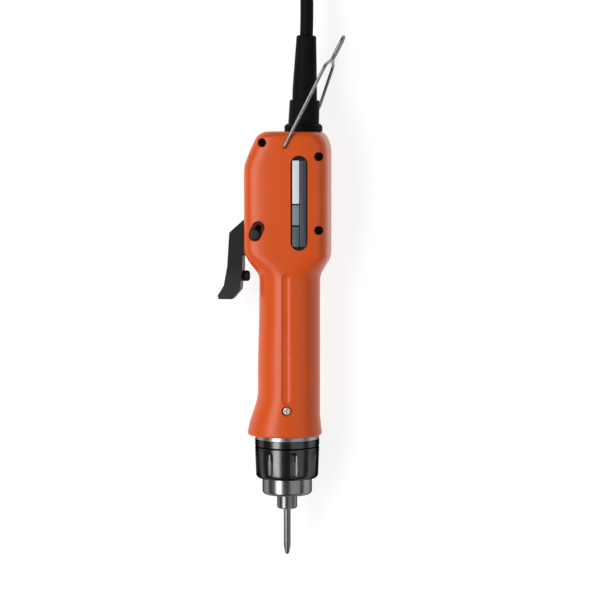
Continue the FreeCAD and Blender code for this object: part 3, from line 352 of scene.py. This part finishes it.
def boardGreen():
    recipe = Recipe("coated board", {"Specular IOR Level": 0.6})
    glass = recipe.noise(1600, 2, (1, 0.1, 1))
    cloud = recipe.noise(300, 3)
    low, high = paint(0.008, 0.07, 0.025), paint(0.016, 0.12, 0.045)
    recipe.colour(recipe.mix(glass * 0.5 + cloud * 0.5, low, high))
    recipe.roughness(0.3 + cloud * 0.1)
    recipe.bump(glass, 0.00003, 0.4)
    return recipe.material


def greys(low, high):
    return paint(low, low, low), paint(high, high, high)


# First by the material slot of the node, and then for single nodes that differ from their slot

finishes = {
    "housing": mouldedOrange(),
    "black_plastic": mouldedBlack(
        "moulded black", paint(0.009, 0.009, 0.0095), paint(0.017, 0.017, 0.018), 0.36
    ),
    "switch_plastic": mouldedBlack(
        "switch plastic", paint(0.012, 0.012, 0.014), paint(0.026, 0.026, 0.03), 0.42
    ),
    "board": boardGreen(),
    "black_ring": ringBlack(),
    "rubber": softRubber("lead rubber", paint(0.0035, 0.0035, 0.004), paint(0.008, 0.008, 0.0085)),
    "tie": wovenTie(),
    "dark_screw": drawnMetal("blackened steel", paint(0.03, 0.027, 0.027), paint(0.07, 0.063, 0.063), 0.3),
    "bright_steel": turnedMetal("plated steel", paint(0.14, 0.14, 0.147), paint(0.24, 0.24, 0.248), 0.19),
    "tool_steel": drawnMetal("tool steel", *greys(0.12, 0.22), 0.24),
    "wire": drawnMetal("drawn wire", paint(0.2, 0.19, 0.18), paint(0.34, 0.33, 0.32), 0.26),
    "case_metal": turnedMetal("turned case", *greys(0.3, 0.42), 0.2),
    "gear_steel": drawnMetal("gear steel", paint(0.28, 0.28, 0.29), paint(0.46, 0.46, 0.47), 0.26),
    "bronze": turnedMetal("bearing bronze", paint(0.5, 0.32, 0.12), paint(0.68, 0.46, 0.2), 0.24),
    "motor_metal": drawnMetal("plated can", paint(0.42, 0.42, 0.42), paint(0.58, 0.58, 0.57), 0.3),
    "carbon": mouldedBlack("pressed carbon", *greys(0.012, 0.035), 0.5, 1600),
    "plate": plateLacquer("plate rim", paint(0.003, 0.0035, 0.0045), paint(0.008, 0.009, 0.011), 0.26),
}
finishOf = {
    "lever": leverBlack(),
    "nose_cap": turnedMetal("turned nose", paint(0.19, 0.19, 0.195), paint(0.33, 0.33, 0.336), 0.14),
    "handle_screw": turnedMetal("bright screw", *greys(0.5, 0.68), 0.3),
    "lever_bumper": softRubber("stop rubber", paint(0.012, 0.011, 0.013), paint(0.024, 0.022, 0.026)),
}
print("finishes mixed:", len(finishes) + len(finishOf))


# Every CAD node takes its finish, and those with round faces get a smoothed copy

def finishFor(node):
    return finishOf.get(node, finishes[slotOf[node]])


for node, piece in frame["nodes"].items():
    piece.data.materials.clear()
    piece.data.materials.append(finishFor(node))


crease = math.radians(35)


def dress(node):
    source = frame["nodes"][node]
    piece = source.copy()
    piece.data = source.data.copy()
    for key in list(piece.keys()):
        if key.startswith("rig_"):
            del piece[key]
    piece.parent = None
    piece.name = node + "_shape"
    bpy.context.collection.objects.link(piece)
    choose(piece)
    bpy.ops.mesh.customdata_custom_splitnormals_clear()
    bpy.ops.object.mode_set(mode="EDIT")
    bpy.ops.mesh.select_all(action="SELECT")
    bpy.ops.mesh.remove_doubles(threshold=0.000002)
    bpy.ops.object.mode_set(mode="OBJECT")
    bpy.ops.object.shade_smooth_by_angle(angle=crease)
    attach(piece, bodyOf[node])
    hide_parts(node)
    return piece


smoothNodes = [
    "upper_shell", "lower_shell", "cord_guard", "suspension_bail", "torque_collar", "scale_ring",
    "gear_case", "nose_cap", "bit_sleeve", "bit", "bit_ball", "output_spindle", "nose_bearing",
    "sleeve_spring", "torque_spring", "lever_spring", "handle_screw", "head_screws", "lever_bumper",
    "lever", "lever_pin", "selector_knob", "motor_can", "motor_magnets", "motor_end_cap", "motor_shaft",
    "armature", "commutator", "spring_seat", "thrust_washer", "clutch_plate", "clutch_balls",
    "first_carrier", "second_carrier", "plug_body", "plug_ring", "plug_pins", "cord_tie", "sleeve_clip",
]
dressed = {node: dress(node) for node in smoothNodes}
print("smoothed:", len(dressed))


# Two places where the photograph differs a little from the solids, in the tool's own mm:
# the guard's thick foot is shorter, and the head's lever side lies nearer to the middle

guardFoot = {"from": 176.0, "to": 193.6, "factor": 0.733}
leverSide = {"from": -19.0, "factor": 0.8, "above": 84.0}


def squeezeGuardFoot():
    corners = dressed["cord_guard"].data.vertices
    bottom, top = rowPoint(0, guardFoot["from"])[1], rowPoint(0, guardFoot["to"])[1]
    for corner in corners:
        if bottom < corner.co.y < top:
            corner.co.y = bottom + (corner.co.y - bottom) * guardFoot["factor"]


def squeezeLeverSide(node):
    edge = rowPoint(leverSide["from"], leverSide["above"])
    for corner in dressed[node].data.vertices:
        if corner.co.x < edge[0] and corner.co.y > edge[1]:
            corner.co.x = edge[0] + (corner.co.x - edge[0]) * leverSide["factor"]


squeezeGuardFoot()
squeezeLeverSide("upper_shell")
squeezeLeverSide("lower_shell")
print("guard foot and lever side squeezed")


# The bail leans a little more and is a little shorter in the photograph

bail = {
    "pivot": (0.8, 161.6),
    "lean": 24.6,  # degrees from upright, the direction in which it is shortened
    "turn": -2.4,
    "length": 0.96,
}


def fitBail():
    piece = dressed["suspension_bail"]
    pivot = Matrix.Translation(rowPoint(*bail["pivot"]))
    lean = math.radians(bail["lean"])
    shorter = Matrix.Scale(bail["length"], 4, Vector((math.sin(lean), math.cos(lean), 0)))
    turned = Matrix.Rotation(math.radians(bail["turn"]), 4, "Z")
    piece.data.transform(pivot @ turned @ shorter @ pivot.inverted())


fitBail()
print("bail fitted")


# Lead: out of the guard, down to the table and round into its coil

lead = {
    "diameter": 0.0073,
    "route": [
        (10.871, 223.174, 0), (11.562, 245.163, 0), (8.389, 267.705, -7.583),
        (-4.949, 289.918, -15.165), (-27.292, 304.988, -16.85),
    ],
    "coilCentre": (7.014, 339.091),
    "coilStart": 208.0,  # degrees, where the lead meets the outermost turn
    # radius and layer of each turn
    "turns": [
        (46.3, 0), (39.0, 0), (31.7, 0), (31.7, 1), (39.0, 1), (46.3, 1), (46.3, 2), (39.0, 2),
    ],
    "middleTurn": 39.0,
    "layerStep": 7.3,
    "topLayer": 2,
    "lastPoints": 4,  # of the last turn
    "pointsPerTurn": 16,
    "crossing": (10, 14),  # the points of a turn between which it moves over to the next
    "bulge": 3.3,  # how far it swings out where it climbs to the next layer
    "lowest": -16.85,
    "rise": [(75.0, 0.12), (45.0, 0.5), (15.0, 0.88)],  # degrees, share of the way up to the plug
    "riseReach": 40.38,
    "intoPlug": [0.004, -0.003],
}


def coilPoint(radius, degrees, height):
    x, y = lead["coilCentre"]
    angle = math.radians(degrees)
    return rowPoint(x + radius * math.cos(angle), y + radius * math.sin(angle), height)


def leadPoints():
    points = [rowPoint(*place) for place in lead["route"]]
    count = lead["pointsPerTurn"]
    step = 360 / count
    pull = 1 / math.cos(math.pi / count)  # the spline runs inside its points by this much
    start, end = lead["crossing"]
    turns = lead["turns"]
    for index, (radius, layer) in enumerate(turns):
        last = index == len(turns) - 1
        nextRadius, nextLayer = turns[index] if last else turns[index + 1]
        for spot in range(lead["lastPoints"] if last else count):
            share = min(1.0, max(0.0, (spot + 0.5 - start) / (end - start)))
            across = radius + (nextRadius - radius) * share
            if nextLayer > layer:
                side = -1 if radius < lead["middleTurn"] else 1
                across += side * lead["bulge"] * math.sin(math.pi * share)
            height = lead["lowest"] + (layer + (nextLayer - layer) * share) * lead["layerStep"]
            degrees = lead["coilStart"] - (spot + 0.5) * step
            points.append(coilPoint(across * pull, degrees, height))
    low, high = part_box("plug_body")
    tail = Vector(((low[0] + high[0]) / 2, high[1], (low[2] + high[2]) / 2))
    top = lead["lowest"] + lead["topLayer"] * lead["layerStep"]
    plugLevel = tail[2] * 1000 - home[2]
    for degrees, share in lead["rise"]:
        points.append(coilPoint(lead["riseReach"], degrees, top + (plugLevel - top) * share))
    points += [tail + Vector((0, along, 0)) for along in lead["intoPlug"]]
    return points


def splineLength(points):
    # a third of the runs between the points and two thirds of the runs between their middles
    runs = sum((b - a).length for a, b in zip(points, points[1:]))
    middles = [points[0]] + [(a + b) / 2 for a, b in zip(points[1:], points[2:-1])] + [points[-1]]
    chords = sum((b - a).length for a, b in zip(middles, middles[1:]))
    return (runs + 2 * chords) / 3


def makeLead():
    points = leadPoints()
    data = bpy.data.curves.new("lead", "CURVE")
    data.dimensions = "3D"
    spline = data.splines.new("NURBS")
    spline.points.add(len(points) - 1)
    for point, place in zip(spline.points, points):
        point.co = (*place, 1)
    spline.order_u = 3
    spline.use_endpoint_u = True
    data.resolution_u = 5
    data.bevel_depth = lead["diameter"] / 2
    data.bevel_resolution = 4
    data.use_fill_caps = True
    data.materials.append(finishes["rubber"])
    piece = bpy.data.objects.new("lead", data)
    bpy.context.collection.objects.link(piece)
    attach(piece, "housing")
    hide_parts("cord", "cord_coil", "cord_end")
    length = splineLength(points)
    print("lead made, points", len(points), "length", round(length, 3))


makeLead()


# Name plate: bare panels on the black rim, a silver column of three and a dark strip

plate = {
    "lift": 0.18,
    "corner": 0.4,
    "edge": 0.05,
    # left, right, bottom and top in mm, the two ends of the colour and the roughness
    "panels": {
        "plate_silver": ((5.2, 9.0, 130.5, 154.2), (0.58, 0.62, 0.68), (0.72, 0.75, 0.8), 0.42),
        "plate_dim": ((5.2, 9.0, 118.7, 129.7), (0.13, 0.17, 0.2), (0.24, 0.3, 0.34), 0.42),
        "plate_low": ((5.2, 9.0, 106.8, 117.7), (0.05, 0.075, 0.09), (0.11, 0.15, 0.17), 0.42),
        "plate_dark": ((9.4, 12.9, 106.8, 154.2), (0.03, 0.032, 0.045), (0.065, 0.072, 0.085), 0.36),
    },
}


def makePanel(name, sides, low, high, rough):
    left, right, bottom, top = sides
    centre = rowPoint((left + right) / 2, (bottom + top) / 2, plate["lift"] / 2)
    centre[2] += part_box("name_plate")[1][2] - home[2] / 1000
    clearSelection()
    bpy.ops.mesh.primitive_cube_add(size=1, location=centre)
    panel = bpy.context.object
    panel.name = name
    panel.scale = ((right - left) / 1000, (top - bottom) / 1000, plate["lift"] / 1000)
    bpy.ops.object.transform_apply(location=True, rotation=True, scale=True)
    bpy.ops.object.mode_set(mode="EDIT")
    bpy.ops.mesh.select_mode(type="EDGE")
    bpy.ops.mesh.select_all(action="DESELECT")
    bpy.ops.object.mode_set(mode="OBJECT")
    for edge in panel.data.edges:
        start, end = (panel.data.vertices[v].co for v in edge.vertices)
        edge.select = abs(start.z - end.z) > 0.00005
    bpy.ops.object.mode_set(mode="EDIT")
    bpy.ops.mesh.bevel(offset=plate["corner"] / 1000, segments=4)
    bpy.ops.object.mode_set(mode="OBJECT")
    panel.data.materials.append(plateLacquer(name.replace("_", " "), paint(*low), paint(*high), rough))
    bpy.ops.object.modifier_add(type="BEVEL")
    bevel = panel.modifiers[-1]
    bevel.width = plate["edge"] / 1000
    bevel.segments = 2
    bevel.limit_method = "ANGLE"
    bpy.ops.object.modifier_apply(modifier=bevel.name)
    bpy.ops.object.shade_smooth_by_angle(angle=crease)
    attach(panel, "housing")


for name, values in plate["panels"].items():
    makePanel(name, *values)
print("name plate made")


# Studio: a lit table, a long soft key from the left and a weak panel on the right

studio = {
    "tableSize": 60,  # wide enough that no low view sees its end
    "table": greys(0.19, 0.2),
    "glow": 0.86,
    "aimHeight": 0.02,
    "sky": (paint(0.9, 0.95, 1.0), 0.08),
    # name, place, size, power in watts and tint
    "lights": [
        ("key", (-0.742, -0.05, 1.207), (0.58, 1.9), 22.2, (1.0, 0.985, 0.97)),
        ("fill", (0.92, 0.0, 0.94), (1.2, 1.8), 4.9, (0.96, 0.98, 1.0)),
    ],
}


def makeStudio():
    clearSelection()
    bpy.ops.mesh.primitive_plane_add(size=studio["tableSize"], location=(0, 0, 0))
    floor = bpy.context.object
    floor.name = "floor"
    recipe = Recipe("lit table", {
        "Specular IOR Level": 0.1,
        "Roughness": 0.9,
        "Emission Color": paint(1, 1, 1),
        "Emission Strength": studio["glow"],
    })
    recipe.colour(recipe.mix(recipe.noise(3, 1), *studio["table"]))
    floor.data.materials.append(recipe.material)
    for name, place, size, power, tint in studio["lights"]:
        bpy.ops.object.light_add(type="AREA", location=place)
        light = bpy.context.object
        light.name = name
        light.data.shape = "RECTANGLE"
        light.data.size, light.data.size_y = size
        light.data.energy = power
        light.data.color = tint
        away = (Vector(place) - Vector((0, place[1], studio["aimHeight"]))).normalized()
        side = Vector((0, 1, 0)).cross(away)
        turn = Matrix((side, Vector((0, 1, 0)), away)).transposed()
        light.matrix_world = Matrix.Translation(place) @ turn.to_4x4()
    world = bpy.data.worlds.new("studio")
    world.use_nodes = True
    colour, strength = studio["sky"]
    background = world.node_tree.nodes["Background"]
    background.inputs["Color"].default_value = colour
    background.inputs["Strength"].default_value = strength
    bpy.context.scene.world = world
    bpy.context.scene.view_settings.view_transform = "Standard"


makeStudio()
clearSelection()
print("studio lit")
